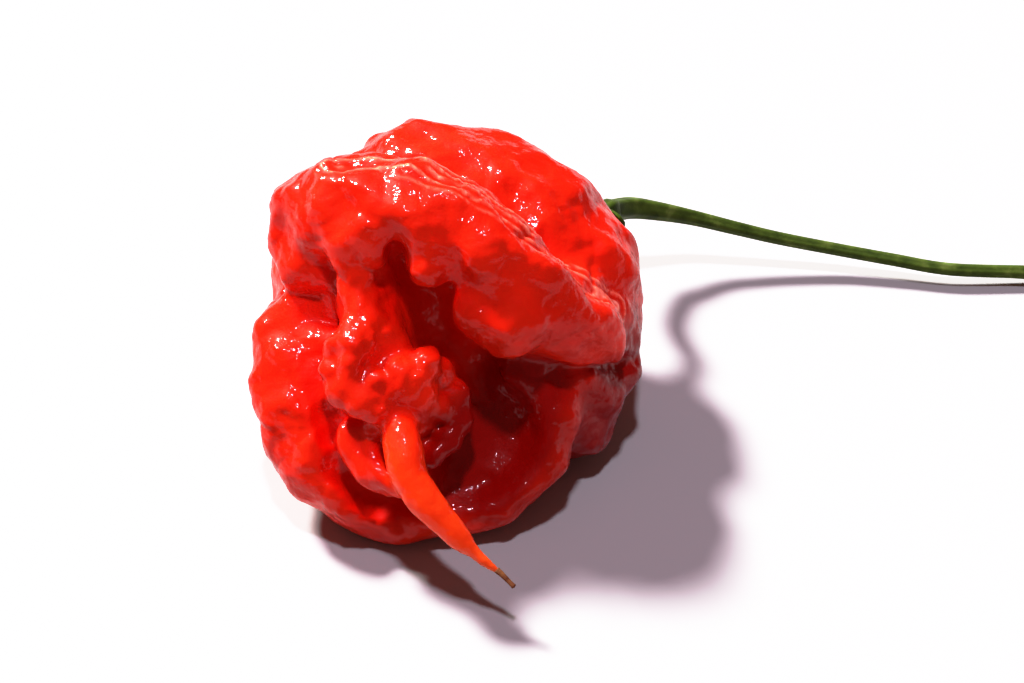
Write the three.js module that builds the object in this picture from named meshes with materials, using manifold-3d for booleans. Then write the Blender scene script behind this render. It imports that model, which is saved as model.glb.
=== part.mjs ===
// A wrinkled, three-lobed chilli pod with its calyx, its stem and the dry end of its style,
// lying on a surface as it was picked. Millimetres, +Z up, the surface is Z = 0.
// +X runs along the stem, and the pod's blossom end with its tail faces up and forwards (-Y).

import * as THREE from 'three';
import { MarchingCubes } from 'three/addons/objects/MarchingCubes.js';
import Module from 'manifold-3d';

// Driving dimensions
const POD_WIDTH = 42;            // across the shoulders
const POD_MIDDLE = [-0.4, -3.8, 18];  // from the spot it rests on: the folds reach forwards
const LEAN = Math.PI / 4;        // how far the blossom end turns up from the horizontal
const STEM_DIAMETER = 1.6;
const STEM_NECK_DIAMETER = 2.7;  // where the stem leaves the calyx
const STEM_END_DIAMETER = 2.3;   // the thicker scar where it was picked
const CALYX_RADIUS = 5.6;
const CALYX_THICKNESS = 1.0;
const CALYX_HEIGHT = 4;          // of its funnel, above the seat
const CALYX_TEETH = 5;
const CALYX_SEAM = 1.2;          // between its cap and its funnel
const TOOTH_DEPTH = 0.32;        // of the calyx's radius
const FUNNEL_FLARE = 1.6;        // how much wider the funnel is at the seat
const FUNNEL_FADE = 1.3;         // the height over which that is lost
const GAP = 0.3;                 // between neighbouring pieces

// How finely the grown shapes are faceted
const POD_CELL = 1.42;
const CALYX_CELL = 0.62;
const SPLINE_STEP = 2.0;
const TAIL_SIDES = 12;
const TAIL_RINGS = 24;
const STEM_SIDES = 10;
const STEM_RINGS = 46;
const STUB_SIDES = 8;
const STUB_RINGS = 6;
const POD_REACH = 0.62;          // half the field's cube, as a share of the pod's width
const POD_HEIGHT = 0.43;         // the height of its middle, likewise
const CALYX_REACH = 9;
const MOST_TRIANGLES = 60000;

// The pod is described facing its blossom end: right, up and out towards the front, with the
// origin at the pod's middle. Lengths are in mm for a pod of 42 mm and grow with the width.
const UNIT = POD_WIDTH / 42;

// Round rolls, folds and warts: each point is right, up, out and the roll's radius there.
const BROW = [
  [-14.7, 13.6, -0.6, 3.9], [-11.2, 14.0, 1.8, 4.7], [-6.6, 13.9, 3.6, 4.9], [-2.6, 13.4, 4.6, 4.9],
  [1.2, 11.4, 5.0, 4.8], [4.8, 8.3, 4.8, 4.6], [8.6, 5.2, 3.4, 4.5], [12.6, 2.2, 0.4, 3.9],
  [16.2, 0.2, -2.6, 3.1],
];
const BROW_CHEEK = [[3.5, 2.4, 4.9, 2.9], [6.4, 1.5, 4.4, 3.6], [10.0, 1.3, 2.6, 3.5], [14.2, 0.4, -0.6, 3.1]];
const BROW_DROPS = [[[-1.3, 9.4, 6.3, 2.3], [-1.1, 7.0, 6.5, 2.2]]];
const BROW_LEDGE = [[-15.8, 10.2, -2.4, 3.2], [-14.8, 7.4, -1.6, 3.1], [-12.4, 6.6, -1.4, 3.0]];

const LEFT_LOBE = [
  [-17.0, 0.2, -2.8, 3.6], [-17.0, -4.6, -2.4, 4.3], [-15.4, -9.8, -2.2, 4.7], [-12.6, -14.4, -2.0, 4.5],
  [-8.8, -18.0, -2.2, 3.6], [-5.4, -19.6, -2.2, 2.9], [-1.2, -19.2, -2.0, 2.5],
];
const LEFT_INNER = [[-13.0, -2.4, -2.4, 4.0], [-12.4, -7.6, -1.6, 4.4], [-10.6, -11.2, -2.6, 3.8]];
const RIGHT_LOBE = [
  [2.4, -19.0, -2.2, 2.2], [7.0, -17.2, -2.2, 2.4], [10.2, -13.4, -2.4, 2.6], [11.6, -9.0, -2.8, 2.8],
  [12.0, -5.2, -3.6, 3.0],
];
const BOWL_FLOOR = [[-8.0, -13.2, -5.4, 3.8], [-1.0, -14.8, -5.2, 3.4], [5.6, -12.6, -5.4, 3.8]];
const REST_BELLY = [[-5.6, -0.6, -14.0, 7.3], [6.4, -0.6, -14.0, 7.3]];
const RIGHT_INNER = [[8.2, -4.8, -2.6, 3.2], [9.0, -8.6, -2.8, 3.0], [7.6, -12.4, -2.6, 2.8]];
const RIGHT_SIDE = [[15.4, -3.0, -9.0, 5.4], [13.4, -8.6, -9.0, 5.2]];

// Hollows between the lobes
const CAVITY = [
  [-4.6, 8.2, 6.4, 1.8], [-3.4, 5.4, 4.6, 2.6], [-1.2, 1.8, 2.2, 3.0], [2.4, -2.4, 0.4, 2.7],
  [3.9, -6.0, -0.6, 2.4], [5.8, -10.4, 1.6, 4.6], [3.6, -14.0, 2.8, 4.6],
];
const RIGHT_CLEFT = [
  [4.6, -2.8, 1.0, 1.5], [9.4, -3.4, 1.6, 0.9], [13.6, -3.6, -0.4, 0.8], [17.6, -3.2, -3.6, 0.8],
  [20.8, -2.8, -7.4, 0.8],
];
const LEFT_CLEFT = [[-20.5, 3.4, 1.0, 1.0], [-16.0, 2.9, 0.9, 1.3], [-12.8, 2.6, 1.4, 2.1], [-10.6, 3.2, 3.2, 2.3]];
const LEFT_HOLLOW = [[-11.6, 4.6, 4.6, 1.6], [-12.6, 0.4, 3.6, 1.6], [-13.6, -3.6, 4.6, 1.2]];
const LOW_HOLLOW = [[-11.2, -13.8, 3.0, 1.8], [-7.8, -16.2, 1.6, 2.4], [-4.8, -17.0, 1.6, 2.0]];

// The column that hangs from the brow, and the warty head it ends in
const COLUMN = [[-9.0, 12.0, 2.6, 3.6], [-8.2, 6.8, 1.6, 3.3], [-7.8, 2.2, 2.0, 3.3], [-6.8, -2.4, 2.6, 3.8]];
const COLUMN_EDGE = [[-9.8, 9.0, 4.4, 1.9], [-9.0, 5.2, 4.6, 1.8], [-9.0, 2.0, 5.0, 1.9], [-9.2, -0.8, 5.6, 2.2]];
const NUB = [[-9.8, -2.6, 4.8, 2.9], [-8.8, -5.2, 5.0, 3.0], [-6.2, -5.9, 5.0, 3.1], [-3.4, -5.0, 4.2, 3.0]];
const COLLAR = [[-4.5, -8.0, 1.5, 4.4]];
const WARTS = [
  [-11.5, -1.4, 5.6, 1.3], [-11.6, -3.6, 6.0, 1.3], [-10.8, -5.8, 6.3, 1.3], [-9.0, -7.2, 6.6, 1.3],
  [-9.6, -3.0, 6.7, 1.3], [-7.2, -4.6, 6.9, 1.4], [-6.4, -7.6, 6.2, 1.3], [-5.0, -3.4, 6.2, 1.3],
  [-3.2, -7.2, 5.6, 1.3], [-2.0, -3.0, 5.0, 1.5], [-0.8, -4.4, 3.6, 1.9], [0.6, -6.6, 2.9, 1.9],
  [0.9, -9.0, 2.8, 1.8], [-0.8, -7.4, 4.2, 1.6], [0.0, -11.0, 3.3, 1.6], [-1.4, -12.6, 3.7, 1.4],
];
const OUTER_FLAP = [[-9.6, -10.0, 3.4, 1.8], [-9.6, -12.4, 3.2, 1.4], [-8.2, -14.6, 3.8, 1.2], [-6.0, -16.2, 4.8, 0.9]];
const INNER_FLAP = [[-7.8, -9.8, 4.2, 1.4], [-7.6, -12.2, 4.4, 1.2], [-6.4, -14.4, 5.0, 1.1], [-4.8, -16.0, 5.6, 0.8]];

// The tail, and the dry end of the style at its tip
const TAIL = [
  [-4.7, -8.4, 4.8, 1.8], [-4.65, -10.0, 6.1, 1.9], [-4.3, -12.0, 7.0, 2.1], [-3.65, -14.4, 7.6, 2.0],
  [-2.1, -16.9, 7.8, 1.85], [-0.2, -19.0, 7.9, 1.6], [1.5, -20.8, 7.9, 1.3], [2.6, -21.9, 7.9, 0.85],
  [4.1, -23.2, 8.0, 0.58], [5.4, -24.2, 8.0, 0.36],
];
const STYLE_STUB = [[5.7, -24.45, 8.0, 0.34], [6.4, -25.1, 8.05, 0.28], [7.1, -25.8, 8.15, 0.3]];

// Shoulders round the calyx, and the furrows that part them
const SHOULDERS = [
  [[-3.8, 16.8, -9.4, 6.6], [3.6, 14.8, -10.4, 7.0]],
  [[14.0, 6.0, -10.4, 7.0], [14.0, 0.4, -10.4, 6.0]],
  [[8.0, 5.0, -15.6, 5.2], [-2.0, 2.0, -15.0, 5.2]],
];
const FURROWS = [
  [[14.6, 9.0, -17.6, 1.6], [18.6, 4.0, -17.0, 1.3], [20.6, -1.4, -12.4, 1.1]],
  [[11.0, 13.0, -18.6, 1.6], [2.0, 12.4, -20.6, 1.5], [-9.0, 9.4, -18.4, 1.4], [-18.4, 5.8, -12.6, 1.2]],
  [[13.0, 7.4, -20.6, 1.6], [8.8, -2.0, -20.4, 1.4], [4.0, -10.0, -18.6, 1.3]],
];

// Where the calyx sits, and which way the stem leaves it
const CALYX_SEAT = [15.0, 12.0, -15.0];
const CALYX_AXIS = [0.6, 0.48, -0.64];

// The stem lies along its own line: right, back, height above the surface, and how much thicker it is than
// its slim part. Then comes the scar where it was picked.
const STEM_LINE = [
  [19.2, 22.9, 12.9, 1.4], [21.6, 26.2, 10.0, 1.3], [24.4, 27.0, 8.6, 1.25], [28.5, 27.5, 7.0, 1.18],
  [33.7, 27.2, 5.6, 1.1], [39.0, 26.7, 4.4, 1.04], [45.7, 26.0, 3.3, 1], [52.9, 24.8, 2.6, 1],
  [59.8, 23.6, 2.1, 1], [68.9, 23.5, 1.7, 1.04],
];
const STEM_SCAR = [74.6, 22.9, 1.5];

const wasm = await Module();
wasm.setup();

// Turn a point of the surface's frame into the pod's own facing frame, and back.
function toPod(x, y, z, out) {
  const back = y - POD_MIDDLE[1] * UNIT;
  const rise = z - POD_MIDDLE[2] * UNIT;
  out[0] = (x - POD_MIDDLE[0] * UNIT) / UNIT;
  out[1] = (back * Math.sin(LEAN) + rise * Math.cos(LEAN)) / UNIT;
  out[2] = (rise * Math.sin(LEAN) - back * Math.cos(LEAN)) / UNIT;
  return out;
}

function fromPod([right, up, out]) {
  return new THREE.Vector3(
    (POD_MIDDLE[0] + right) * UNIT,
    (POD_MIDDLE[1] + up * Math.sin(LEAN) - out * Math.cos(LEAN)) * UNIT,
    (POD_MIDDLE[2] + up * Math.cos(LEAN) + out * Math.sin(LEAN)) * UNIT,
  );
}

// Smooth joins and cuts of distances: `seam` is the width of the rounded seam.
function join(a, b, seam) {
  const h = Math.max(seam - Math.abs(a - b), 0) / seam;
  return Math.min(a, b) - h * h * seam * 0.25;
}

function cut(a, b, seam) {
  return -join(-a, b, seam);
}

// A smooth line through hand-placed points, each with its radius.
function smoothLine(points, step) {
  if (points.length < 2) return points;
  const last = points.length - 1;
  const before = points[0].map((v, i) => 2 * v - points[1][i]);
  const after = points[last].map((v, i) => 2 * v - points[last - 1][i]);
  const ends = [before, ...points, after];
  const line = [];
  for (let i = 1; i <= last; i += 1) {
    const [a, b, c, d] = [ends[i - 1], ends[i], ends[i + 1], ends[i + 2]];
    const length = Math.hypot(c[0] - b[0], c[1] - b[1], c[2] - b[2]);
    const steps = Math.max(1, Math.ceil(length / step));
    for (let j = 0; j < steps; j += 1) {
      const t = j / steps;
      line.push(b.map((v, k) => 0.5 * (2 * v + (c[k] - a[k]) * t
        + (2 * a[k] - 5 * v + 4 * c[k] - d[k]) * t * t
        + (3 * v - a[k] - 3 * c[k] + d[k]) * t * t * t)));
    }
  }
  line.push(points[last]);
  return line;
}

// Distance to a roll: a row of tapering round bars along a line.
function roll(points) {
  const line = smoothLine(points, SPLINE_STEP);
  return (p) => {
    if (line.length === 1) {
      const [a] = line;
      return Math.hypot(p[0] - a[0], p[1] - a[1], p[2] - a[2]) - a[3];
    }
    let nearest = Infinity;
    for (let i = 1; i < line.length; i += 1) {
      const a = line[i - 1];
      const b = line[i];
      const along = [b[0] - a[0], b[1] - a[1], b[2] - a[2]];
      const from = [p[0] - a[0], p[1] - a[1], p[2] - a[2]];
      const square = along[0] ** 2 + along[1] ** 2 + along[2] ** 2;
      const dot = from[0] * along[0] + from[1] * along[1] + from[2] * along[2];
      const t = Math.min(Math.max(dot / square, 0), 1);
      const away = Math.hypot(from[0] - t * along[0], from[1] - t * along[1], from[2] - t * along[2]);
      nearest = Math.min(nearest, away - a[3] - t * (b[3] - a[3]));
    }
    return nearest;
  };
}

function ellipsoid(centre, radii) {
  return (p) => {
    const q = p.map((v, i) => (v - centre[i]) / radii[i]);
    const scaled = Math.hypot(...q);
    const slope = Math.hypot(...q.map((v, i) => v / radii[i])) + 1e-6;
    return scaled * (scaled - 1) / slope;
  };
}

// Low lumps all over the skin, about 5 mm across.
const REST_SMOOTH = 3;           // the skin is smooth up to this height, where it rests
const LUMP_HEIGHT = 0.26;
const LUMP_LENGTH = 7.5;
const LUMP_WAVES = 2 * Math.PI / LUMP_LENGTH;
function lumps([right, up, out]) {
  const a = LUMP_WAVES * (right + 0.35 * up);
  const b = LUMP_WAVES * (up - 0.3 * out);
  const c = LUMP_WAVES * (out + 0.3 * right);
  return LUMP_HEIGHT * (Math.sin(a) * Math.cos(b) + Math.sin(b) * Math.cos(c) + Math.sin(c) * Math.cos(a));
}

// The full middle of the pod and its belly: middle and radii.
const CORE = [[0.4, 4.6, -9.6], [20.2, 17.9, 11.4]];
const BELLY = [[1.0, -5.0, -7.6], [15.0, 10.0, 6.0]];
const CORE_SEAM = 4;

// The forms in the order in which they lie on each other: how each meets the rest, the width of
// its rounded seam, and its rolls.
const FORMS = [
  [join, 3, ...SHOULDERS],
  [cut, 2.5, ...FURROWS],
  [join, 2.5, BROW],
  [join, 2, BROW_CHEEK],
  [join, 1.6, BROW_LEDGE],
  [join, 2, LEFT_LOBE, LEFT_INNER, RIGHT_LOBE, RIGHT_INNER],
  [join, 2.5, BOWL_FLOOR, REST_BELLY],
  [join, 3, RIGHT_SIDE],
  [cut, 1.4, CAVITY],
  [cut, 1, RIGHT_CLEFT],
  [cut, 1.2, LEFT_CLEFT],
  [cut, 1, LEFT_HOLLOW],
  [cut, 1.2, LOW_HOLLOW],
  [join, 1.1, ...BROW_DROPS],
  [join, 1.6, COLUMN],
  [join, 1.2, COLUMN_EDGE],
  [join, 1.5, COLLAR],
  [join, 1.2, NUB],
  [join, 0.8, ...WARTS.map((wart) => [wart])],
  [join, 0.8, OUTER_FLAP],
  [join, 0.6, INNER_FLAP],
];

const core = ellipsoid(...CORE);
const belly = ellipsoid(...BELLY);
const forms = FORMS.flatMap(([mix, seam, ...rolls]) => rolls.map((points) => ({ mix, seam, far: roll(points) })));

function podDistance(x, y, z) {
  const p = toPod(x, y, z, [0, 0, 0]);
  let distance = join(core(p), belly(p), CORE_SEAM);
  for (const { mix, far, seam } of forms) distance = mix(distance, far(p), seam);
  const relief = lumps(p) * Math.min(Math.max(z / REST_SMOOTH, 0), 1);
  return Math.max((distance - relief) * UNIT, -z);
}

// Facet a distance field inside a cube: `cell` is the facets' size.
function facet(distance, centre, reach, cell) {
  const size = 2 * Math.round(reach / cell);
  const half = size / 2;
  const snap = 0.12 * cell;
  const cubes = new MarchingCubes(size, new THREE.MeshBasicMaterial(), false, false, MOST_TRIANGLES);
  cubes.isolation = 0;
  for (let k = 0, i = 0; k < size; k += 1) {
    for (let j = 0; j < size; j += 1) {
      for (let h = 0; h < size; h += 1, i += 1) {
        const value = distance(
          centre.x + (h - half) * cell, centre.y + (j - half) * cell, centre.z + (k - half) * cell,
        );
        cubes.field[i] = Math.abs(value) < snap ? (value < 0 ? snap : -snap) : -value;
      }
    }
  }
  cubes.update();
  // The corners that lie on one edge of the grid are one vertex.
  const names = new Map();
  const positions = [];
  const index = [];
  for (let i = 0; i < cubes.count; i += 1) {
    const corner = [0, 1, 2].map((k) => cubes.positionArray[3 * i + k] * half);
    const name = corner.map((q) => (Math.abs(q - Math.round(q)) < 0.02 ? 2 * Math.round(q) : 2 * Math.floor(q) + 1));
    const key = name.join();
    if (!names.has(key)) {
      names.set(key, names.size);
      positions.push(centre.x + corner[0] * cell, centre.y + corner[1] * cell, centre.z + corner[2] * cell);
    }
    index.push(names.get(key));
  }
  const geometry = new THREE.BufferGeometry();
  geometry.setAttribute('position', new THREE.Float32BufferAttribute(positions, 3));
  geometry.setIndex(index);
  return geometry;
}

// A tube with closed ends along a row of points, each with its radius.
function sweep(points, sides, steps) {
  const curve = new THREE.CatmullRomCurve3(points.map(([x, y, z]) => new THREE.Vector3(x, y, z)));
  const radii = new THREE.CatmullRomCurve3(points.map((p) => new THREE.Vector3(p[3], 0, 0)));
  const { normals, binormals } = curve.computeFrenetFrames(steps);
  const positions = [];
  const index = [];
  const place = (v) => positions.push(v.x, v.y, v.z);
  place(curve.getPoint(0));
  for (let i = 0; i <= steps; i += 1) {
    const t = curve.getUtoTmapping(i / steps);
    const middle = curve.getPoint(t);
    const radius = radii.getPoint(t).x;
    for (let j = 0; j < sides; j += 1) {
      const turn = 2 * Math.PI * j / sides;
      place(middle.clone().addScaledVector(normals[i], radius * Math.cos(turn))
        .addScaledVector(binormals[i], radius * Math.sin(turn)));
    }
  }
  place(curve.getPoint(1));
  const end = positions.length / 3 - 1;
  for (let j = 0; j < sides; j += 1) {
    const next = (j + 1) % sides;
    index.push(0, 1 + next, 1 + j);
    index.push(end, end - sides + j, end - sides + next);
    for (let i = 0; i < steps; i += 1) {
      const a = 1 + i * sides;
      const b = a + sides;
      index.push(a + j, a + next, b + j, a + next, b + next, b + j);
    }
  }
  const geometry = new THREE.BufferGeometry();
  geometry.setAttribute('position', new THREE.Float32BufferAttribute(positions, 3));
  geometry.setIndex(index);
  return geometry;
}

function toSolid(geometry) {
  return new wasm.Manifold(new wasm.Mesh({
    numProp: 3,
    vertProperties: new Float32Array(geometry.attributes.position.array),
    triVerts: new Uint32Array(geometry.index.array),
  }));
}

function fromSolid(solid) {
  const { vertProperties, triVerts } = solid.getMesh();
  const geometry = new THREE.BufferGeometry();
  geometry.setAttribute('position', new THREE.BufferAttribute(vertProperties, 3));
  geometry.setIndex(new THREE.BufferAttribute(triVerts, 1));
  return geometry;
}

// Place face-frame points, with their radii, in the surface's frame.
function place(points) {
  return points.map((p) => [...fromPod(p).toArray(), p[3] * UNIT]);
}

function podGeometry() {
  const middle = new THREE.Vector3(0, 0, POD_HEIGHT * POD_WIDTH);
  const body = facet(podDistance, middle, POD_REACH * POD_WIDTH, POD_CELL);
  const tail = sweep(place(TAIL), TAIL_SIDES, TAIL_RINGS);
  // Only the outer skin is kept, so a hollow that the folds close off is filled.
  const shells = toSolid(body).add(toSolid(tail)).decompose();
  return fromSolid(shells.sort((a, b) => b.volume() - a.volume())[0]);
}

// The calyx is a thin star that follows the pod's shoulders and rises to the stem.
function calyxGeometry() {
  const seat = fromPod(CALYX_SEAT);
  const axis = fromPod(CALYX_AXIS).sub(fromPod([0, 0, 0])).normalize();
  const side = new THREE.Vector3(0, 0, 1).cross(axis).normalize();
  const up = axis.clone().cross(side);
  const from = new THREE.Vector3();
  const star = (x, y, z) => {
    from.set(x, y, z).sub(seat);
    const height = from.dot(axis);
    const across = Math.hypot(from.dot(side), from.dot(up));
    const turn = Math.atan2(from.dot(up), from.dot(side));
    const edge = CALYX_RADIUS * (1 - TOOTH_DEPTH * (0.5 - 0.5 * Math.cos(CALYX_TEETH * turn)));
    const skin = podDistance(x, y, z) - GAP;
    const plate = Math.max(Math.abs(skin - CALYX_THICKNESS / 2) - CALYX_THICKNESS / 2, across - edge);
    const neck = STEM_NECK_DIAMETER / 2 + FUNNEL_FLARE * Math.exp(-Math.max(height, 0) / FUNNEL_FADE);
    const funnel = Math.max(across - neck, height - CALYX_HEIGHT, -1 - height);
    return Math.max(join(plate, funnel, CALYX_SEAM), -skin);
  };
  return facet(star, seat, CALYX_REACH, CALYX_CELL);
}

// The stem grows straight out of the calyx, then sinks towards the surface.
function stemLine() {
  const seat = fromPod(CALYX_SEAT);
  const axis = fromPod(CALYX_AXIS).sub(fromPod([0, 0, 0])).normalize();
  const out = (length) => seat.clone().addScaledVector(axis, length).toArray();
  const neck = STEM_NECK_DIAMETER / 2;
  const slim = STEM_DIAMETER / 2;
  return [
    [...out(CALYX_HEIGHT + GAP), neck],
    [...out(CALYX_HEIGHT + GAP + 1), 0.95 * neck],
    ...STEM_LINE.map(([x, y, z, thicker]) => [x, y, z, slim * thicker]),
    [...STEM_SCAR, STEM_END_DIAMETER / 2],
  ];
}

function material(colour, roughness) {
  return new THREE.MeshStandardMaterial({ color: colour, roughness, metalness: 0 });
}

function piece(name, geometry, finish) {
  geometry.computeVertexNormals();
  const mesh = new THREE.Mesh(geometry, finish);
  mesh.name = name;
  return mesh;
}

const pepper = new THREE.Group();
pepper.add(piece('pod', podGeometry(), material('#d81a0c', 0.25)));
pepper.add(piece('calyx', calyxGeometry(), material('#4c5a20', 0.55)));
pepper.add(piece('stem', sweep(stemLine(), STEM_SIDES, STEM_RINGS), material('#3b4a19', 0.5)));
pepper.add(piece('style_stub', sweep(place(STYLE_STUB), STUB_SIDES, STUB_RINGS), material('#6f4a32', 0.7)));

export default pepper;
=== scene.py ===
# %% [markdown]
# A ripe, wrinkled chilli pod, as it lies on a pale table
#
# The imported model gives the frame: where the pod, its calyx, its stem and the dry end of its style are, at
# their real size. This lesson grows the finer surface of each of them in the same place, gives each its
# finish, and sets the floor, the light and the camera. Blender works in metres, and the shapes here are
# written in millimetres, because a pod of 42 mm is easier to think about that way.

# %% Load the frame
import math

import bpy
import numpy as np
import openvdb
from mathutils import Euler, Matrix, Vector, noise


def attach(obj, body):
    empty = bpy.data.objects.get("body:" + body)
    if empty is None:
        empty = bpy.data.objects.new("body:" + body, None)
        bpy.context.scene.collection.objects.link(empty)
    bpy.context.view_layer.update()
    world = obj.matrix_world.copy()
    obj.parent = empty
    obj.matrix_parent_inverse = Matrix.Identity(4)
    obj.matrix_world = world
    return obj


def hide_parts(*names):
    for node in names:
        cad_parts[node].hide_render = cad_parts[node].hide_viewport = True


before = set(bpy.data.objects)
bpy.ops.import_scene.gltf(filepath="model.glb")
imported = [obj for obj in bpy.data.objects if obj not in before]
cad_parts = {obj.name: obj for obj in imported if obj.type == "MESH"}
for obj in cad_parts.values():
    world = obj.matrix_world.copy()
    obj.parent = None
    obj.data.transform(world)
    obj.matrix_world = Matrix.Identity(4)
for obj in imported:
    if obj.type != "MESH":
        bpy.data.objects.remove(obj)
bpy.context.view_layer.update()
MM = 0.001
print("nodes:", sorted(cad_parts))

# %% [markdown]
# The pod's own frame
#
# The pod is easiest to describe facing its blossom end: right, up and out towards the front, from its middle.
# That view leans 45 degrees, because the pod lies with its blossom end turned up.

# %% Turn points between the pod's frame and the table's
POD_MIDDLE = np.array([-0.4, -3.8, 18.0])
LEAN = math.pi / 4
POD_AXES = np.array([
    [1.0, 0.0, 0.0],
    [0.0, math.sin(LEAN), math.cos(LEAN)],
    [0.0, -math.cos(LEAN), math.sin(LEAN)],
])


def to_pod(points):
    """Table points, in mm, as right, up and out."""
    return (points - POD_MIDDLE) @ POD_AXES.T


def from_pod(points):
    """Right, up and out as table points, in mm."""
    return np.asarray(points, float)[..., :3] @ POD_AXES + POD_MIDDLE


print("middle of the pod:", POD_MIDDLE, "mm, leaning", round(math.degrees(LEAN)), "degrees")

# %% [markdown]
# The camera
#
# The photograph looks down at 45 degrees from about 20 cm, so it sees the blossom end straight on. At 9.4
# pixels to the millimetre in an image 1024 wide, that distance gives a lens of 70 mm.

# %% Place the camera
IMAGE_WIDTH = 1024
PIXELS_PER_MM = 9.4
VIEW_DISTANCE = 212.0
VIEW_SIDE = (6.9, -0.7)
SENSOR_WIDTH = 36

camera_data = bpy.data.cameras.new("camera")
camera_data.sensor_width = SENSOR_WIDTH
camera_data.lens = SENSOR_WIDTH * PIXELS_PER_MM * VIEW_DISTANCE / IMAGE_WIDTH
camera_data.clip_start = 0.01
camera = bpy.data.objects.new("camera", camera_data)
camera.location = Vector(from_pod([*VIEW_SIDE, VIEW_DISTANCE]) * MM)
camera.rotation_euler = Euler((LEAN, 0, 0))
bpy.context.collection.objects.link(camera)
bpy.context.scene.camera = camera
print("lens:", round(camera_data.lens, 1), "mm")

# %% [markdown]
# The pod as a field of distances
#
# A pod like this is a heap of swollen folds that run into each other. Subdividing a cage would need hundreds
# of hand-placed corners. A distance field does it with rolls: each is a few points with a radius, and a
# smooth join melts it into what is already there, or a smooth cut presses a cleft into it. Most rolls are those
# of the solid model and a few are finer or fuller here, so the finer skin stays where the solid is.

# %% The rolls: each point is right, up, out and the radius there, in mm
BROW = [
    (-14.7, 13.6, -0.6, 3.9), (-11.2, 14.0, 1.8, 4.7), (-6.6, 13.9, 3.6, 4.9), (-2.6, 13.4, 4.6, 4.9),
    (1.2, 11.4, 5.0, 4.8), (4.8, 8.3, 4.8, 4.6), (8.6, 5.2, 3.4, 4.5), (12.6, 2.2, 0.4, 3.9),
    (16.2, 0.2, -2.6, 3.1),
]
BROW_FRONT = [
    (-12.6, 11.0, 2.3, 3.2), (-8.8, 10.5, 5.1, 3.3), (-4.4, 11.2, 6.1, 3.3), (0.0, 10.6, 5.7, 3.1),
    (4.4, 8.4, 5.2, 3.0),
]
BROW_CHEEK = [(3.5, 2.4, 4.9, 2.9), (6.4, 1.5, 4.4, 3.6), (10.0, 1.3, 2.6, 3.5), (14.2, 0.4, -0.6, 3.1)]
BROW_DROP = [(-1.8, 10.2, 6.3, 3.2), (-1.4, 7.1, 7.0, 2.4)]
BROW_LEDGE = [(-15.4, 10.4, -1.4, 3.5), (-14.6, 7.8, -0.7, 3.3), (-12.0, 7.6, -0.6, 3.2)]
LEFT_LOBE = [
    (-17.0, 0.2, -2.8, 3.6), (-17.0, -4.6, -2.4, 4.3), (-15.4, -9.8, -2.2, 4.7), (-12.6, -14.4, -2.0, 4.5),
    (-8.8, -18.0, -2.2, 3.6), (-5.4, -19.6, -2.2, 2.9), (-1.2, -19.2, -2.0, 2.5),
]
LEFT_INNER = [(-13.0, -2.4, -2.4, 4.0), (-12.4, -7.6, -1.6, 4.4), (-10.6, -11.2, -2.6, 3.8)]
RIGHT_LOBE = [
    (2.4, -19.0, -2.2, 2.2), (7.0, -17.2, -2.2, 2.4), (10.2, -13.4, -2.4, 2.6), (11.6, -9.0, -2.8, 2.8),
    (12.0, -5.2, -3.6, 3.0),
]
BOWL_FLOOR = [(-8.0, -13.2, -5.4, 3.8), (-1.0, -14.8, -5.2, 3.4), (5.6, -12.6, -5.4, 3.8)]
REST_BELLY = [(-5.6, -0.6, -14.0, 7.3), (6.4, -0.6, -14.0, 7.3)]
RIGHT_INNER = [(8.2, -4.8, -2.6, 3.2), (9.0, -8.6, -2.8, 3.0), (7.6, -12.4, -2.6, 2.8)]
RIGHT_SIDE = [(15.4, -3.0, -9.0, 5.4), (13.4, -8.6, -9.0, 5.2)]
CAVITY = [
    (-4.6, 8.2, 6.4, 1.8), (-3.4, 5.4, 4.6, 2.6), (-1.2, 1.8, 2.2, 3.0), (2.4, -2.4, 0.4, 2.7),
    (3.9, -6.0, -0.6, 2.4), (5.8, -10.4, 1.6, 4.6), (3.6, -14.0, 2.8, 4.6),
]
RIGHT_CLEFT = [
    (4.6, -2.8, 1.0, 1.5), (9.4, -3.4, 1.6, 0.9), (13.6, -3.6, -0.4, 0.8), (17.6, -3.2, -3.6, 0.8),
    (20.8, -2.8, -7.4, 0.8),
]
LEFT_CLEFT = [(-20.5, 3.4, 1.4, 1.0), (-16.0, 2.9, 1.8, 1.1), (-12.8, 2.8, 3.0, 1.6), (-10.6, 3.2, 4.4, 1.9)]
LEFT_HOLLOW = [
    (-11.6, 4.6, 4.6, 1.6), (-12.6, 0.4, 3.6, 1.6), (-13.4, -3.6, 4.2, 1.2), (-13.0, -7.0, 3.8, 1.2),
    (-12.2, -10.6, 2.8, 1.5),
]
LOW_HOLLOW = [(-11.2, -13.8, 3.0, 1.8), (-7.8, -16.2, 1.6, 2.4), (-4.8, -17.0, 1.6, 2.0)]
LEFT_FILL = [(-15.4, 3.3, -2.2, 2.1), (-12.0, 3.2, -1.7, 2.4)]
COLUMN = [(-9.0, 12.0, 2.6, 3.6), (-8.2, 6.8, 1.6, 3.3), (-7.8, 2.2, 2.0, 3.3), (-6.8, -2.4, 2.6, 3.8)]
COLUMN_EDGE = [(-9.8, 9.0, 4.4, 1.9), (-9.0, 5.2, 4.6, 1.8), (-9.0, 2.0, 5.0, 1.9), (-9.2, -0.8, 5.6, 2.2)]
COLLAR = [(-4.5, -8.0, 1.5, 4.4)]
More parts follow.
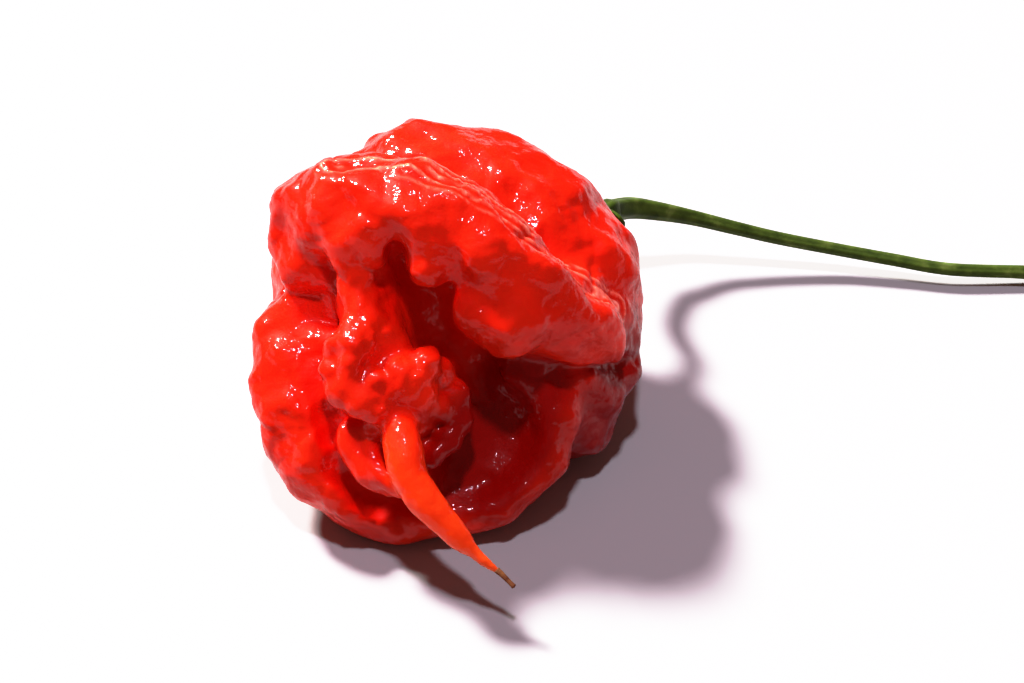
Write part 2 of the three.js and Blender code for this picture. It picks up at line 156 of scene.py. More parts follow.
WARTS = [
    (-11.5, -1.4, 5.6, 1.3), (-11.6, -3.6, 6.0, 1.3), (-10.8, -5.8, 6.3, 1.3), (-9.0, -7.2, 6.6, 1.3),
    (-9.6, -3.0, 6.7, 1.3), (-7.2, -4.6, 6.9, 1.4), (-6.4, -7.6, 6.2, 1.3), (-5.0, -3.4, 6.2, 1.3),
    (-3.2, -7.2, 5.6, 1.3), (-2.0, -3.0, 5.0, 1.5), (-0.8, -4.4, 3.0, 1.8), (0.7, -6.6, 2.1, 1.9),
    (1.0, -9.0, 2.0, 1.8), (-0.6, -7.4, 3.2, 1.5), (0.0, -11.0, 2.6, 1.6), (-1.4, -12.6, 3.2, 1.4),
]
NUB = [(-9.8, -2.6, 4.8, 2.9), (-8.8, -5.2, 5.0, 3.0), (-6.2, -5.9, 5.0, 3.1), (-3.4, -5.0, 4.2, 3.0)]
OUTER_FLAP = [(-9.6, -10.0, 3.4, 1.8), (-9.6, -12.4, 3.2, 1.4), (-8.2, -14.6, 3.8, 1.2), (-6.0, -16.2, 4.8, 0.9)]
INNER_FLAP = [(-7.8, -9.8, 4.2, 1.4), (-7.6, -12.2, 4.4, 1.2), (-6.4, -14.4, 5.0, 1.1), (-4.8, -16.0, 5.6, 0.8)]
FLAP_WEB = [(-8.9, -10.2, 2.9, 2.0), (-8.4, -12.6, 3.0, 1.8), (-6.8, -15.0, 3.8, 1.3)]
TAIL = [
    (-4.7, -8.4, 4.8, 1.8), (-4.65, -10.0, 6.1, 1.9), (-4.3, -12.0, 7.0, 2.1), (-3.65, -14.4, 7.6, 2.0),
    (-2.1, -16.9, 7.8, 1.85), (-0.2, -19.0, 7.9, 1.6), (1.5, -20.8, 7.9, 1.3), (2.6, -21.9, 7.9, 0.85),
    (4.1, -23.2, 8.0, 0.58), (5.4, -24.2, 8.0, 0.36),
]
SHOULDERS = [
    [(-3.8, 16.8, -9.4, 6.6), (3.6, 14.8, -10.4, 7.0)],
    [(14.0, 6.0, -10.4, 7.0), (14.0, 0.4, -10.4, 6.0)],
    [(8.0, 5.0, -15.6, 5.2), (-2.0, 2.0, -15.0, 5.2)],
]
FURROWS = [
    [(14.6, 9.0, -17.6, 1.6), (18.6, 4.0, -17.0, 1.3), (20.6, -1.4, -12.4, 1.1)],
    [(11.0, 13.0, -18.6, 1.6), (2.0, 12.4, -20.6, 1.5), (-9.0, 9.4, -18.4, 1.4), (-18.4, 5.8, -12.6, 1.2)],
    [(13.0, 7.4, -20.6, 1.6), (8.8, -2.0, -20.4, 1.4), (4.0, -10.0, -18.6, 1.3)],
]
CORE = ((0.4, 4.6, -9.6), (20.2, 17.9, 11.4))
BELLY = ((1.0, -5.0, -7.6), (15.0, 10.0, 6.0))
BOWL = CAVITY[4:]

# %% [markdown]
# The order of the folds
#
# Each fold is joined to what is there already, or cut out of it, with a seam of its own width in mm. The clefts
# come after the lobes that they part, and the hanging column with its warts comes after the clefts.

# %% Put the folds in order
JOIN, CUT = 1, -1
CORE_SEAM = 4.0
TAIL_SEAM = 0.5
FOLDS = [
    *[(JOIN, 3.0, shoulder) for shoulder in SHOULDERS],
    *[(CUT, 2.5, furrow) for furrow in FURROWS],
    (JOIN, 2.5, BROW), (JOIN, 2.0, BROW_FRONT), (JOIN, 2.0, BROW_CHEEK), (JOIN, 1.6, BROW_LEDGE),
    (JOIN, 2.0, LEFT_LOBE), (JOIN, 2.0, LEFT_INNER), (JOIN, 2.0, RIGHT_LOBE), (JOIN, 2.0, RIGHT_INNER),
    (JOIN, 2.5, BOWL_FLOOR), (JOIN, 2.5, REST_BELLY), (JOIN, 3.0, RIGHT_SIDE),
    (CUT, 1.4, CAVITY), (CUT, 1.0, RIGHT_CLEFT), (CUT, 1.2, LEFT_CLEFT),
    (CUT, 1.0, LEFT_HOLLOW), (CUT, 1.2, LOW_HOLLOW),
    (JOIN, 1.6, BROW_DROP), (JOIN, 1.4, LEFT_FILL), (JOIN, 1.6, COLUMN), (JOIN, 1.2, COLUMN_EDGE),
    (JOIN, 1.5, COLLAR), (JOIN, 1.2, NUB),
    *[(JOIN, 0.8, [wart]) for wart in WARTS],
    (JOIN, 0.8, OUTER_FLAP), (JOIN, 0.6, INNER_FLAP), (JOIN, 0.6, FLAP_WEB),
]
print("folds:", len(FOLDS), "of which", sum(way == CUT for way, _, _ in FOLDS), "are cuts")

# %% [markdown]
# Lines, joins and cuts
#
# A smooth line runs through the few points of a roll, and the distance to that line, less the radius, gives the
# roll. The rounded minimum of two distances joins them with a soft seam. Turned round, the same join cuts.

# %% Smooth lines, joins and cuts
SPLINE_STEP = 1.2


def smooth_line(points, step=SPLINE_STEP):
    """A Catmull-Rom line through the points, radius and all, with a corner about every step mm."""
    knots = np.asarray(points, float)
    if len(knots) < 2:
        return knots
    knots = np.vstack([2 * knots[0] - knots[1], knots, 2 * knots[-1] - knots[-2]])
    line = []
    for a, b, c, d in zip(knots, knots[1:], knots[2:], knots[3:]):
        count = max(1, math.ceil(np.linalg.norm(c[:3] - b[:3]) / step))
        for t in np.arange(count) / count:
            line.append(0.5 * (2 * b + (c - a) * t + (2 * a - 5 * b + 4 * c - d) * t ** 2
                               + (3 * b - a - 3 * c + d) * t ** 3))
    return np.vstack([line, knots[-2]])


def join(a, b, blend):
    """The nearer of two distances, with a rounded seam of that width."""
    h = np.maximum(blend - np.abs(a - b), 0) / blend
    return np.minimum(a, b) - h * h * blend / 4


def roll_distance(line, p):
    """Distance from the points p to a row of tapering bars."""
    if len(line) == 1:
        return np.linalg.norm(p - line[0, :3], axis=1) - line[0, 3]
    nearest = np.full(len(p), np.inf)
    for a, b in zip(line, line[1:]):
        along = b[:3] - a[:3]
        t = np.clip((p - a[:3]) @ along / (along @ along), 0, 1)
        away = np.linalg.norm(p - a[:3] - t[:, None] * along, axis=1)
        nearest = np.minimum(nearest, away - a[3] - t * (b[3] - a[3]))
    return nearest


def ellipsoid_distance(p, centre, radii):
    q = (p - centre) / radii
    scaled = np.linalg.norm(q, axis=1)
    return scaled * (scaled - 1) / (np.linalg.norm(q / radii, axis=1) + 1e-6)


def mix(distance, p, points, blend, sign=1):
    """Melts a roll into the field where it is near enough, or cuts it out with sign -1."""
    line = smooth_line(points)
    centre = (line[:, :3].min(0) + line[:, :3].max(0)) / 2
    reach = np.max(np.linalg.norm(line[:, :3] - centre, axis=1) + line[:, 3])
    near = np.linalg.norm(p - centre, axis=1) - reach < sign * distance + blend
    distance[near] = sign * join(sign * distance[near], roll_distance(line, p[near]), blend)
    return distance


print("corners of the brow's line:", len(smooth_line(BROW)))

# %% [markdown]
# Low lumps
#
# Between the folds the skin still rises and falls, about every 5 mm. Three crossed waves give it that, with
# no pattern that repeats in view. The skin is smooth where the pod's own weight presses it on the table.

# %% The whole field
LUMP_HEIGHT = 0.26
LUMP_LENGTH = 7.5
REST_SMOOTH = 3.0
BOWL_REACH = 2.5
BOWL_CALM = 0.85


def lumps(p):
    k = 2 * math.pi / LUMP_LENGTH
    a = k * (p[:, 0] + 0.35 * p[:, 1])
    b = k * (p[:, 1] - 0.3 * p[:, 2])
    c = k * (p[:, 2] + 0.3 * p[:, 0])
    return LUMP_HEIGHT * (np.sin(a) * np.cos(b) + np.sin(b) * np.cos(c) + np.sin(c) * np.cos(a))


def pod_distance(points):
    """Distance to the pod's skin from table points, in mm, negative inside."""
    p = to_pod(points)
    d = join(ellipsoid_distance(p, *CORE), ellipsoid_distance(p, *BELLY), CORE_SEAM)
    for way, seam, roll in FOLDS:
        d = mix(d, p, roll, seam, way)
    height = points[:, 2]
    in_bowl = np.clip(1 - roll_distance(smooth_line(BOWL), p) / BOWL_REACH, 0, 1)
    d = d - lumps(p) * np.clip(height / REST_SMOOTH, 0, 1) * (1 - BOWL_CALM * in_bowl)
    d = mix(d, p, TAIL, TAIL_SEAM)
    return np.maximum(d, -height)


print("the pod's middle is", round(-pod_distance(POD_MIDDLE[None])[0], 1), "mm inside its skin")

# %% [markdown]
# From a field to a mesh
#
# The field is first measured on a coarse grid, and again on a fine one only where the skin can be. OpenVDB,
# which comes with Blender, then lays quads over the place where the distance is nought.

# %% Lay a skin over a field
COARSE = 4
BAND = 1.9


def skin(distance, low, high, cell):
    """Corners, in mm, and quads and triangles of the surface where distance is 0, inside a box."""
    low, high = np.array(low, float), np.array(high, float)
    counts = (np.ceil((high - low) / (cell * COARSE)).astype(int)) * COARSE
    steps = [np.arange(n // COARSE + 1) * COARSE * cell + start for n, start in zip(counts, low)]
    corners = np.stack(np.meshgrid(*steps, indexing="ij"), -1)
    rough = distance(corners.reshape(-1, 3)).reshape(corners.shape[:3])
    for axis in range(3):
        t = np.arange(counts[axis] + 1) / COARSE
        first = np.minimum(t.astype(int), rough.shape[axis] - 2)
        share = (t - first).reshape([-1 if k == axis else 1 for k in range(3)])
        rough = (np.take(rough, first, axis) * (1 - share) + np.take(rough, first + 1, axis) * share)
    near = np.abs(rough) < BAND * cell * COARSE / 1.4
    spots = np.argwhere(near) * cell + low
    field = rough.astype(np.float32)
    field[near] = distance(spots)
    grid = openvdb.FloatGrid(background=float(field.max()))
    grid.copyFromArray(field)
    points, triangles, quads = grid.convertToPolygons(isovalue=0.0, adaptivity=0.0)
    return np.asarray(points, float) * cell + low, np.asarray(triangles), np.asarray(quads)


def mesh_object(name, points, faces):
    """A smooth-shaded object from corners in mm."""
    mesh = bpy.data.meshes.new(name)
    mesh.from_pydata((np.asarray(points) * MM).tolist(), [], [list(map(int, face)) for face in faces])
    mesh.polygons.foreach_set("use_smooth", np.ones(len(mesh.polygons), bool))
    piece = bpy.data.objects.new(name, mesh)
    bpy.context.collection.objects.link(piece)
    return piece


# %% [markdown]
# The pod's skin
#
# Where folds meet they can close off a hollow inside that nobody sees, so only the outer shell is kept.

# %% Grow the pod's skin
POD_CELL = 0.35
POD_BOX = ((-24, -30, -1.4), (24, 25, 38))


def outer_shell(points, faces):
    """Keeps the largest connected surface, so a hollow that the folds close off is left out."""
    label = np.arange(len(points))
    ends = np.vstack([np.stack([faces[:, k], np.roll(faces, 1, 1)[:, k]], 1) for k in range(faces.shape[1])])
    while True:
        low = label.copy()
        np.minimum.at(low, ends[:, 0], label[ends[:, 1]])
        np.minimum.at(low, ends[:, 1], label[ends[:, 0]])
        low = low[low]
        if (low == label).all():
            break
        label = low
    keep = label == np.bincount(label).argmax()
    number = np.cumsum(keep) - 1
    return points[keep], number[faces[keep[faces[:, 0]]]]


corners, _, quads = skin(pod_distance, *POD_BOX, POD_CELL)
corners, quads = outer_shell(corners, quads)
pod = mesh_object("pod_skin", corners, quads)
print("pod skin:", len(corners), "corners,", len(quads), "quads")

# %% [markdown]
# Warts and wrinkles
#
# The ripe skin is tight and glossy over flat-sided lumps 3 to 5 mm across, and pimply on the hanging column and
# its head. Fine creases run between the lumps, and where the brow meets the back the skin is gathered in narrow
# pleats, whose tops catch the light: a pale sheen is painted on them. A bump map would leave the outline smooth,
# so these are real: each corner moves along its normal by noise whose grain is a real size. Only the finest grain
# is left to the material. Blender's vector noise starts from the clock unless it has a seed, so it gets one, and
# every run grows the same skin.

# %% Raise the skin
SKIN_SEED = 1
noise.seed_set(SKIN_SEED)
WARP_SIZE = 5
WARP_REACH = 1.3
FACET_SIZE = 4.4
FACET_HEIGHT = 0.42
FACET_MIDDLE = 0.45
WART_SIZE = 1.6
WART_HEIGHT = 0.36
WART_EDGE = 0.75
RIPPLE_SIZE = 2.6
RIPPLE_HEIGHT = 0.14
CRINKLE_SIZE = 1.4
CRINKLE_HEIGHT = 0.12
CREASE_SIZE = 3.6
CREASE_SHARP = 0.14
CREASE_HEIGHT = 0.26
CREASE_MIDDLE = 0.7
OPEN_SKIN_CREASE = 0.35
PLEAT_WIDTH = 1.1
PLEAT_HEIGHT = 0.24
PLEAT_WAVE = 1.8
PLEATED_TOP = 1.2
PLEATED_FALL = 1.2
PLEAT_SHEEN_SHARP = 3
CREST_STEP = 0.4
CREST = [
    (-12.0, 17.6, 5.0, 0.6), (-7.0, 18.4, 6.2, 0.8), (-3.0, 17.4, 7.2, 1.2), (1.5, 15.6, 7.6, 1.4),
    (5.0, 13.8, 7.0, 1.2), (8.2, 11.0, 6.0, 1.2), (11.2, 8.2, 4.0, 1.3), (13.6, 5.4, 1.2, 1.6),
    (17.4, 2.6, -3.0, 1.8),
]


def near(p, rolls, reach):
    """1 on the rolls, falling to 0 at reach mm from them."""
    away = np.min([roll_distance(smooth_line(points), p) for points in rolls], axis=0)
    return np.clip(1 - away / reach, 0, 1)


def relief(p, warty, smooth):
    """How far each point stands out, in mm, and how much pale sheen is painted on the top of a pleat."""
    height = np.empty(len(p))
    pale = np.empty(len(p))
    crest = smooth_line(CREST, CREST_STEP)
    from_crest = np.min([np.linalg.norm(p - spot[:3], axis=1) for spot in crest], axis=0)
    pleated = np.clip(PLEATED_TOP - roll_distance(smooth_line(CREST), p) / PLEATED_FALL, 0, 1)
    creased = CREASE_HEIGHT * (OPEN_SKIN_CREASE + (1 - OPEN_SKIN_CREASE) * pleated)
    for i, (x, y, z) in enumerate(p):
        spot = Vector((x, y, z)) + noise.noise_vector(Vector((x, y, z)) / WARP_SIZE) * WARP_REACH
        facet = noise.voronoi(spot / FACET_SIZE)[0][0]
        wart = noise.voronoi(spot / WART_SIZE)[0][0]
        ripple = noise.noise(spot / RIPPLE_SIZE)
        crinkle = noise.noise(spot / CRINKLE_SIZE)
        crease = min(abs(noise.noise(spot / CREASE_SIZE)) / CREASE_SHARP, 1)
        pleat = abs(math.sin(math.pi * from_crest[i] / PLEAT_WIDTH + PLEAT_WAVE * ripple))
        height[i] = (FACET_HEIGHT * (FACET_MIDDLE - facet) + WART_HEIGHT * warty[i] * max(0.0, WART_EDGE - wart)
                     + RIPPLE_HEIGHT * ripple + CRINKLE_HEIGHT * (1 + warty[i]) * crinkle
                     + creased[i] * (crease - CREASE_MIDDLE) - PLEAT_HEIGHT * pleated[i] * pleat) * smooth[i]
        # Painted highlight: a pale sheen on the pleat tops, sharpest on the ridge.
        pale[i] = pleated[i] * (1 - pleat) ** PLEAT_SHEEN_SHARP
    return height, pale


def normals(piece):
    found = np.empty(len(piece.data.vertices) * 3)
    piece.data.vertices.foreach_get("normal", found)
    return found.reshape(-1, 3)


LEAST_WARTY = 0.15
TAIL_CALM, FLAP_CALM, HOLLOW_CALM, BACK_CALM = 0.5, 0.4, 0.4, 0.15
WART_REACH, TAIL_REACH, FLAP_REACH, HOLLOW_REACH = 2.5, 1.2, 1.5, 1.5
BACK_START, BACK_FALL = -2.0, 4.0

p = to_pod(corners)
warty = near(p, [[wart] for wart in WARTS] + [COLUMN_EDGE, COLLAR], WART_REACH)
on_tail = near(p, [TAIL[1:]], TAIL_REACH)
on_flaps = near(p, [OUTER_FLAP, INNER_FLAP], FLAP_REACH)
in_bowl = near(p, [BOWL], HOLLOW_REACH)
on_back = np.clip((BACK_START - p[:, 2]) / BACK_FALL, 0, 1)
smooth = (1 - TAIL_CALM * on_tail) * (1 - FLAP_CALM * on_flaps) * (1 - HOLLOW_CALM * in_bowl)
smooth = smooth * (1 - BACK_CALM * on_back) * np.clip(corners[:, 2] / REST_SMOOTH, 0, 1)
height, pale = relief(p, LEAST_WARTY + (1 - LEAST_WARTY) * warty, smooth)
corners = corners + normals(pod) * height[:, None]
corners[:, 2] = np.maximum(corners[:, 2], 0)
pod.data.vertices.foreach_set("co", (corners * MM).ravel())
pod.data.update()
print("relief:", round(height.min(), 2), "to", round(height.max(), 2), "mm")

# %% [markdown]
# Colours and nodes
#
# Colours are picked as they look, in sRGB, and Blender mixes light in linear values, so one function turns
# them. One more adds a node with its settings and links.

# %% Helpers for materials
def linear(colour, alpha=1.0):
    """An sRGB hex colour such as #d21a0b as linear red, green, blue and alpha."""
    values = [int(colour[k:k + 2], 16) / 255 for k in (1, 3, 5)]
    return [v / 12.92 if v <= 0.04045 else ((v + 0.055) / 1.055) ** 2.4 for v in values] + [alpha]


def add_node(material, kind, inputs=None, **settings):
    """Adds a node. Inputs are named or numbered, and take a value or another node's socket."""
    node = material.node_tree.nodes.new(kind)
    for name, value in settings.items():
        setattr(node, name, value)
    for name, value in (inputs or {}).items():
        if isinstance(value, bpy.types.NodeSocket):
            material.node_tree.links.new(value, node.inputs[name])
        else:
            node.inputs[name].default_value = value
    return node


def new_material(name):
    """An empty node material, with a coordinate in millimetres."""
    material = bpy.data.materials.new(name)
    material.use_nodes = True
    material.node_tree.nodes.clear()
    place = add_node(material, "ShaderNodeTexCoord")
    scaled = add_node(material, "ShaderNodeVectorMath",
                      {0: place.outputs["Object"], 1: (1 / MM,) * 3}, operation="MULTIPLY")
    return material, scaled.outputs[0]


def noise_of(material, place, size, **inputs):
    return add_node(material, "ShaderNodeTexNoise", {"Vector": place, "Scale": 1 / size, **inputs}).outputs["Fac"]


def ramp(material, value, stops):
    """A colour ramp from (place, hex) stops."""
    node = add_node(material, "ShaderNodeValToRGB", {"Fac": value})
    while len(node.color_ramp.elements) < len(stops):
        node.color_ramp.elements.new(0.5)
    for element, (spot, colour) in zip(node.color_ramp.elements, stops):
        element.position = spot
        element.color = linear(colour)
    return node.outputs["Color"]


def stored(material, name):
    """A number that keep_values stored on the corners."""
    return add_node(material, "ShaderNodeAttribute", attribute_name=name).outputs["Fac"]


def mixed(material, share, first, second):
    """The first colour, turning into the second as the share goes to 1."""
    node = add_node(material, "ShaderNodeMix", {"Factor": share, 6: first, 7: second}, data_type="RGBA")
    return node.outputs[2]


def bump_of(material, height, strength, rise):
    """A normal that follows a height of up to rise mm."""
    inputs = {"Height": height, "Strength": strength, "Distance": rise * MM}
    return add_node(material, "ShaderNodeBump", inputs).outputs[0]


def finish_material(material, shader):
    add_node(material, "ShaderNodeOutputMaterial", {"Surface": shader.outputs[0]})
    return material


def keep_values(piece, name, values):
    """Stores one number for each corner of a piece, for its material."""
    layer = piece.data.attributes.new(name, "FLOAT", "POINT")
    layer.data.foreach_set("value", np.asarray(values, np.float32))


print("ripe red in linear light:", [round(v, 3) for v in linear("#cc1e05")])

# %% [markdown]
# Ripe chilli skin
#
# The skin is a clear, waxy cuticle over red flesh: light goes in, turns deep red and comes out a little further
# on. That is subsurface scattering under a coat. A deeper red is painted into the folds, and over the bowl and
# the right side, as shade. The thin tail is orange, and the tops of the pleats are painted pale as a sheen where
# they catch the light. The cuticle has a fine grain of its own on the coat's normal, which breaks each highlight
# up into small sparkles and leaves the flesh under it smooth.

# %% Finish the pod
FOLD_STEPS = (2.0, 4.0, 7.0)
TAIL_TOP, TAIL_FALL = -8.0, 16.0
# Painted shade: the bowl and the right side sit under the brow and face away from the lights, so they are painted
# deep red.
BOWL_SHADE_ROLLS = [RIGHT_INNER, CAVITY[5:], [(0.6, -8.6, 2.0, 1.0)], RIGHT_SIDE, [(17.0, -6.0, -5.0, 1.0)]]
BOWL_SHADE_REACH = 3.4
BOWL_SHADE_SHARE = 1.3


def depth_in_folds(points, outward):
    """0 on open skin, 1 deep in a crease, from how soon a line outwards comes near skin again: where shade is
    painted.
    """
    depth = np.zeros(len(points))
    for step in FOLD_STEPS:
        away = pod_distance(points + outward * step)
        depth += np.clip(1 - away / step, 0, 1) / len(FOLD_STEPS)
    return depth


# Painted shade: the depth in the folds darkens the skin's red in creases and hollows, where light reaches less.
keep_values(pod, "painted_fold_shade", depth_in_folds(corners, normals(pod)))
keep_values(pod, "tail", on_tail)
# Painted highlight: the pale sheen on the tops of the pleats.
keep_values(pod, "painted_pleat_sheen", pale)
keep_values(pod, "tail_length", np.clip((TAIL_TOP - p[:, 1]) / TAIL_FALL, 0, 1))
# Painted shade: how near each corner lies to the bowl and the right side.
keep_values(pod, "painted_bowl_shade", np.clip(BOWL_SHADE_SHARE * near(p, BOWL_SHADE_ROLLS, BOWL_SHADE_REACH), 0, 1))

CLOUD_SIZE = 9.0
CUTICLE_GRAIN = 1.7
CUTICLE_DIMPLE = 0.5
DIMPLE_SHARE = 0.16


def chilli_skin():
    skin_material, place = new_material("ripe_chilli_skin")
    cloudy = noise_of(skin_material, place, CLOUD_SIZE, Detail=3.0)
    flesh = ramp(skin_material, cloudy, [(0.35, "#cc1e05"), (0.65, "#e32b0c")])
    # Painted shade: a deeper red mixed in by the fold depth.
    fold_shaded = mixed(skin_material, stored(skin_material, "painted_fold_shade"), flesh, linear("#e20e02"))
    # Painted shade: the bowl and the right side turn a dark red.
    thick_or_shaded = mixed(skin_material, stored(skin_material, "painted_bowl_shade"), fold_shaded, linear("#9c0502"))
    # Painted highlight: the pleat tops turn pale pink, as if they catch the light.
    pleat_sheened = mixed(skin_material, stored(skin_material, "painted_pleat_sheen"), thick_or_shaded, linear("#ff9a82"))
    tail_colour = ramp(skin_material, stored(skin_material, "tail_length"),
                       [(0.0, "#ee2607"), (0.4, "#f4400e"), (0.8, "#ee4c14"), (1.0, "#dc5c22")])
    colour = mixed(skin_material, stored(skin_material, "tail"), pleat_sheened, tail_colour)
    grain = noise_of(skin_material, place, CUTICLE_GRAIN, Detail=1.0)
    dimple = noise_of(skin_material, place, CUTICLE_DIMPLE, Detail=1.0)
    height = add_node(skin_material, "ShaderNodeMath", {0: dimple, 1: DIMPLE_SHARE, 2: grain},
                      operation="MULTIPLY_ADD").outputs[0]
    cuticle = bump_of(skin_material, height, strength=0.8, rise=0.6)
    bump = bump_of(skin_material, dimple, strength=0.3, rise=0.12)
    rough = add_node(skin_material, "ShaderNodeMapRange",
                     {"Value": cloudy, "From Min": 0.3, "From Max": 0.7, "To Min": 0.42, "To Max": 0.52})
    shader = add_node(skin_material, "ShaderNodeBsdfPrincipled", {
        "Base Color": colour, "Roughness": rough.outputs[0], "IOR": 1.45, "Specular IOR Level": 0.08,
        "Normal": bump, "Coat Normal": cuticle,
        "Coat Weight": 0.85, "Coat Roughness": 0.12, "Coat IOR": 1.34,
        "Subsurface Weight": 0.3, "Subsurface Radius": (1.0, 0.1, 0.04), "Subsurface Scale": 1.2 * MM,
    })
    return finish_material(skin_material, shader)


pod.data.materials.append(chilli_skin())
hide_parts("pod")
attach(pod, "root")
print("pod:", [layer.name for layer in pod.data.attributes if layer.data_type == "FLOAT"])

# %% [markdown]
# The calyx
#
# The calyx is the green cap that the pod hung from. It hugs the shoulders, ends in five short teeth and rises
# to the stem in a funnel. It is a shell over the pod's own field, cut to a star.

# %% Grow the calyx
CALYX_SEAT = (15.0, 12.0, -15.0)
CALYX_AXIS = np.array([0.6, 0.48, -0.64])
CALYX_RADIUS = 5.6
CALYX_THICKNESS = 0.9
CALYX_HEIGHT = 4.0
CALYX_TEETH = 5
CALYX_GAP = 0.12
NECK_RADIUS = 1.35
NECK_WAVE = 0.06
TOOTH_DEPTH = 0.32
TOOTH_SHARP = 1.4
RIB_HEIGHT = 0.35
RIB_SHARP = 6
EDGE_THINNER = 0.45
PLATE_CUT = 0.7
FUNNEL_FLARE = 1.6
FUNNEL_FADE = 1.3
FUNNEL_ROOT = 1
CALYX_SEAM = 1.2
CALYX_ROOM = 8
CALYX_CELL = 0.2

seat = from_pod(CALYX_SEAT)
axis = (CALYX_AXIS / np.linalg.norm(CALYX_AXIS)) @ POD_AXES
side = np.cross((0, 0, 1), axis)
side /= np.linalg.norm(side)
up = np.cross(axis, side)


def calyx_distance(points):
    away = points - seat
    height = away @ axis
    across = np.hypot(away @ side, away @ up)
    turn = np.arctan2(away @ up, away @ side)
    tooth = 0.5 + 0.5 * np.cos(CALYX_TEETH * turn)
    edge = CALYX_RADIUS * (1 - TOOTH_DEPTH + TOOTH_DEPTH * tooth ** TOOTH_SHARP)
    above = pod_distance(points) - CALYX_GAP
    rib = RIB_HEIGHT * tooth ** RIB_SHARP * np.clip(1 - across / CALYX_RADIUS, 0, 1)
    thick_or_shaded = CALYX_THICKNESS * (1 - EDGE_THINNER * np.clip(across / edge, 0, 1)) + rib
    plate = np.maximum(np.abs(above - thick_or_shaded / 2) - thick_or_shaded / 2, (across - edge) * PLATE_CUT)
    flare = FUNNEL_FLARE * np.exp(-np.maximum(height, 0) / FUNNEL_FADE)
    neck = NECK_RADIUS * (1 + NECK_WAVE * np.cos(CALYX_TEETH * turn)) + flare
    funnel = np.maximum(np.maximum(across - neck, height - CALYX_HEIGHT), -FUNNEL_ROOT - height)
    return np.maximum(join(plate, funnel, CALYX_SEAM), -above)


points, _, faces = skin(calyx_distance, seat - CALYX_ROOM, seat + CALYX_ROOM, CALYX_CELL)
points, faces = outer_shell(points, faces)
calyx = mesh_object("calyx_cap", points, faces)
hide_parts("calyx")
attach(calyx, "root")
print("calyx:", len(faces), "quads")

# %% [markdown]
# The stem
#
# The stem is a slim green stalk with soft ridges along it. It leaves the calyx, sinks to the table and ends in
# the thicker scar where it was picked. It is swept along nearly the same line as the solid one.

# %% Sweep the stem
STEM_LINE = [
    (18.1, 23.1, 11.9, 1.65), (20.9, 26.2, 9.7, 1.6), (24.2, 27.0, 8.5, 1.4), (28.5, 27.5, 7.0, 1.15),
    (33.7, 27.2, 5.6, 1.03), (39.0, 26.7, 4.4, 0.97), (45.7, 26.0, 3.3, 0.94), (52.9, 24.8, 2.6, 0.94),
    (59.8, 23.6, 2.1, 0.95), (68.9, 23.5, 1.7, 1.02),
]
STEM_SCAR = (74.6, 22.9, 1.5)
STEM_RADIUS = 0.8
SCAR_RADIUS = 1.15
NECK_TAPER = [(-0.6, 0.98), (1.3, 0.95)]


def sweep(name, line, sides, ridges=0, ridge_height=0.0, rounded=0.0):
    """A closed tube along a line of points with radii, in mm, with soft ridges along it."""
    middles = line[:, :3]
    along = np.gradient(middles, axis=0)
    along /= np.linalg.norm(along, axis=1)[:, None]
    across = np.cross(along[0], (0.3, 0.2, 1.0))
    rings = []
    for middle, forward, radius in zip(middles, along, line[:, 3]):
        across = across - forward * (across @ forward)
        across /= np.linalg.norm(across)
        other = np.cross(forward, across)
        turn = np.arange(sides) * 2 * math.pi / sides
        reach = radius * (1 + ridge_height * np.cos(ridges * turn))
        rings.append(middle + reach[:, None] * (np.cos(turn)[:, None] * across + np.sin(turn)[:, None] * other))
    points = np.vstack(rings + [middles[0] - along[0] * rounded, middles[-1] + along[-1] * rounded])
    first, last = len(points) - 2, len(points) - 1
    faces = []
    for j in range(sides):
        n = (j + 1) % sides
        faces.append((first, n, j))
        end = (len(rings) - 1) * sides
        faces.append((last, end + j, end + n))
        for i in range(len(rings) - 1):
            a, b = i * sides, (i + 1) * sides
            faces.append((a + j, a + n, b + n, b + j))
    return mesh_object(name, points, faces)


neck_end = seat + axis * CALYX_HEIGHT
slim = [(*point, STEM_RADIUS * thicker) for *point, thicker in STEM_LINE]
stem_points = [
    *[(*(neck_end + axis * rise), NECK_RADIUS * share) for rise, share in NECK_TAPER],
    *slim, (*STEM_SCAR, SCAR_RADIUS),
]
stem_line = smooth_line(stem_points, step=0.5)
stem = sweep("stem_stalk", stem_line, sides=30, ridges=5, ridge_height=0.07, rounded=0.1)
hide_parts("stem")
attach(stem, "root")
print("stem:", len(stem.data.polygons), "faces")

# %% [markdown]
# The dry end of the style
#
# The brown thread at the tip of the tail is what is left of the flower's style: a thin, slightly ridged tube.

# %% Sweep the dry end of the style
STYLE_STUB = [
    (5.3, -24.1, 8.0, 0.33), (5.9, -24.6, 8.05, 0.29), (6.6, -25.3, 8.1, 0.24), (7.1, -25.8, 8.15, 0.27),
]
stub_points = [(*from_pod(point), point[3]) for point in STYLE_STUB]
stub_line = smooth_line(stub_points, step=0.15)
stub = sweep("style_end", stub_line, sides=14, ridges=3, ridge_height=0.12, rounded=0.12)
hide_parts("style_stub")
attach(stub, "root")
print("style:", len(stub.data.polygons), "faces")

# %% [markdown]
# Green stalk and dry style
#
# Stem and calyx are living green tissue with a thin wax: satin, a little translucent, darker where it is older,
# with streaks along the stalk. The style's end has dried to a dull brown.

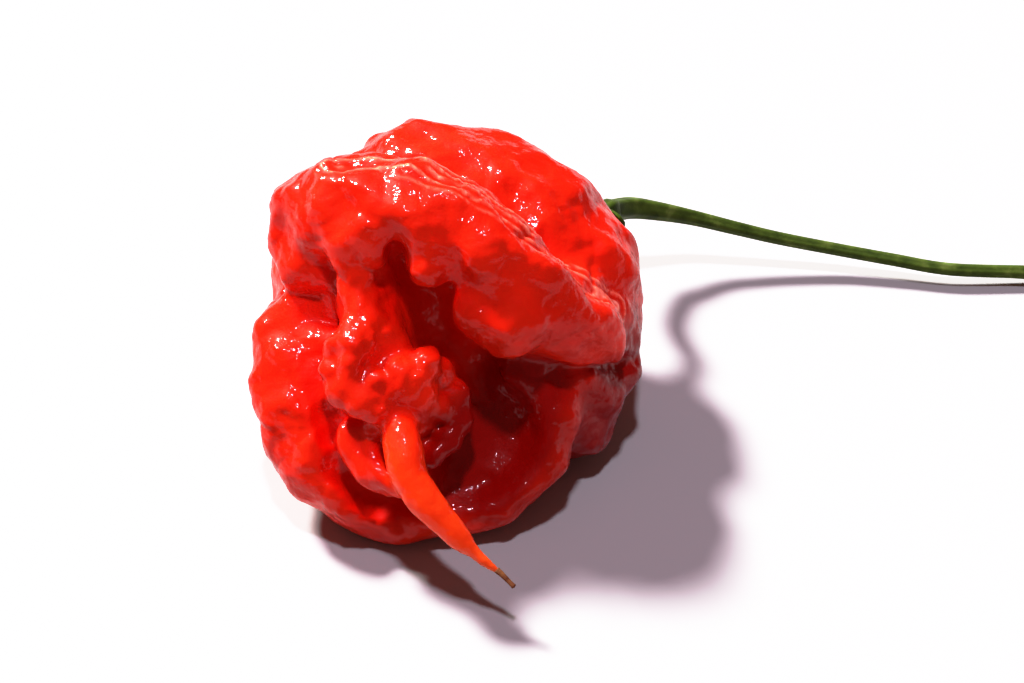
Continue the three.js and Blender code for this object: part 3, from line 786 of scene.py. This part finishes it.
# %% Finish the green pieces and the style
def plant_tissue(name, colours, size, roughness, sss=0.1):
    material, place = new_material(name)
    streaks = noise_of(material, place, size, Detail=4.0, Distortion=0.4)
    colour = ramp(material, streaks, [(0.3, colours[0]), (0.55, colours[1]), (0.75, colours[2])])
    fine = noise_of(material, place, 0.3, Detail=3.0)
    bump = bump_of(material, fine, strength=0.4, rise=0.1)
    shader = add_node(material, "ShaderNodeBsdfPrincipled", {
        "Base Color": colour, "Roughness": roughness, "IOR": 1.45, "Specular IOR Level": 0.08,
        "Normal": bump,
        "Subsurface Weight": sss, "Subsurface Radius": (0.4, 0.6, 0.1), "Subsurface Scale": MM,
    })
    return finish_material(material, shader)


stem.data.materials.append(
    plant_tissue("green_stalk_tissue", ["#36461a", "#4e6026", "#6c7c40"], size=2.2, roughness=0.42))
calyx.data.materials.append(
    plant_tissue("calyx_leaf_tissue", ["#33480f", "#4c6419", "#6d7f2c"], size=3.0, roughness=0.5))
stub.data.materials.append(
    plant_tissue("dried_style_tissue", ["#5a3320", "#7c4d33", "#8f6238"], size=0.8, roughness=0.75, sss=0.02))

# %% [markdown]
# Table and light
#
# The table is plain and pale, and lit until it looks white. A window behind on the left gives the long soft
# shadow towards the right, and a lamp overhead draws the sharper shadow of the tail. Both are suns, because
# both are far away next to a pod of 4 cm, and the angle of a sun sets how soft its shadows are. The room's own
# light is pinkish, which warms the shadows. The picture is then developed as a photograph is, with a curve that
# lifts the light tones until the table turns white.

# %% Set the table and the lights
def plain_white():
    material, _ = new_material("white_laminate")
    shader = add_node(material, "ShaderNodeBsdfPrincipled", {
        "Base Color": linear("#aeaeaf"), "Roughness": 0.6, "IOR": 1.45, "Specular IOR Level": 0.2,
    })
    return finish_material(material, shader)


TABLE_SIZE = 3.0
half = TABLE_SIZE / 2 / MM
table = mesh_object("table", [(-half, -half, 0), (half, -half, 0), (half, half, 0), (-half, half, 0)],
                    [(0, 1, 2, 3)])
table.data.materials.append(plain_white())


def far_light(name, direction, power, spread, colour):
    """A light so far off that its rays are parallel, with its width as an angle in degrees."""
    data = bpy.data.lights.new(name, "SUN")
    data.energy = power
    data.angle = math.radians(spread)
    data.color = linear(colour)[:3]
    light = bpy.data.objects.new(name, data)
    light.rotation_euler = Vector(direction).to_track_quat("Z", "Y").to_euler()
    light.location = Vector(direction).normalized() * 0.5
    bpy.context.collection.objects.link(light)
    return light


far_light("window_behind", direction=(-0.68, 0.68, 1), power=6.7, spread=10, colour="#fffffd")
far_light("lamp_overhead", direction=(0.0, -0.03, 1), power=1.75, spread=5, colour="#f2ecff")
world = bpy.data.worlds.new("pale_room")
world.use_nodes = True
sky = world.node_tree.nodes["Background"]
sky.inputs["Color"].default_value = linear("#ffb2aa")
sky.inputs["Strength"].default_value = 0.21
bpy.context.scene.world = world
view = bpy.context.scene.view_settings
view.view_transform = "Standard"
view.use_curve_mapping = True
DEVELOPED = [(0.06, 0.045), (0.15, 0.13), (0.28, 0.25), (0.42, 0.46), (0.6, 0.79), (0.78, 0.966), (0.88, 0.993)]
for point in DEVELOPED:
    view.curve_mapping.curves[3].points.new(*point)
view.curve_mapping.update()
print("lights:", [light.name for light in bpy.data.lights])
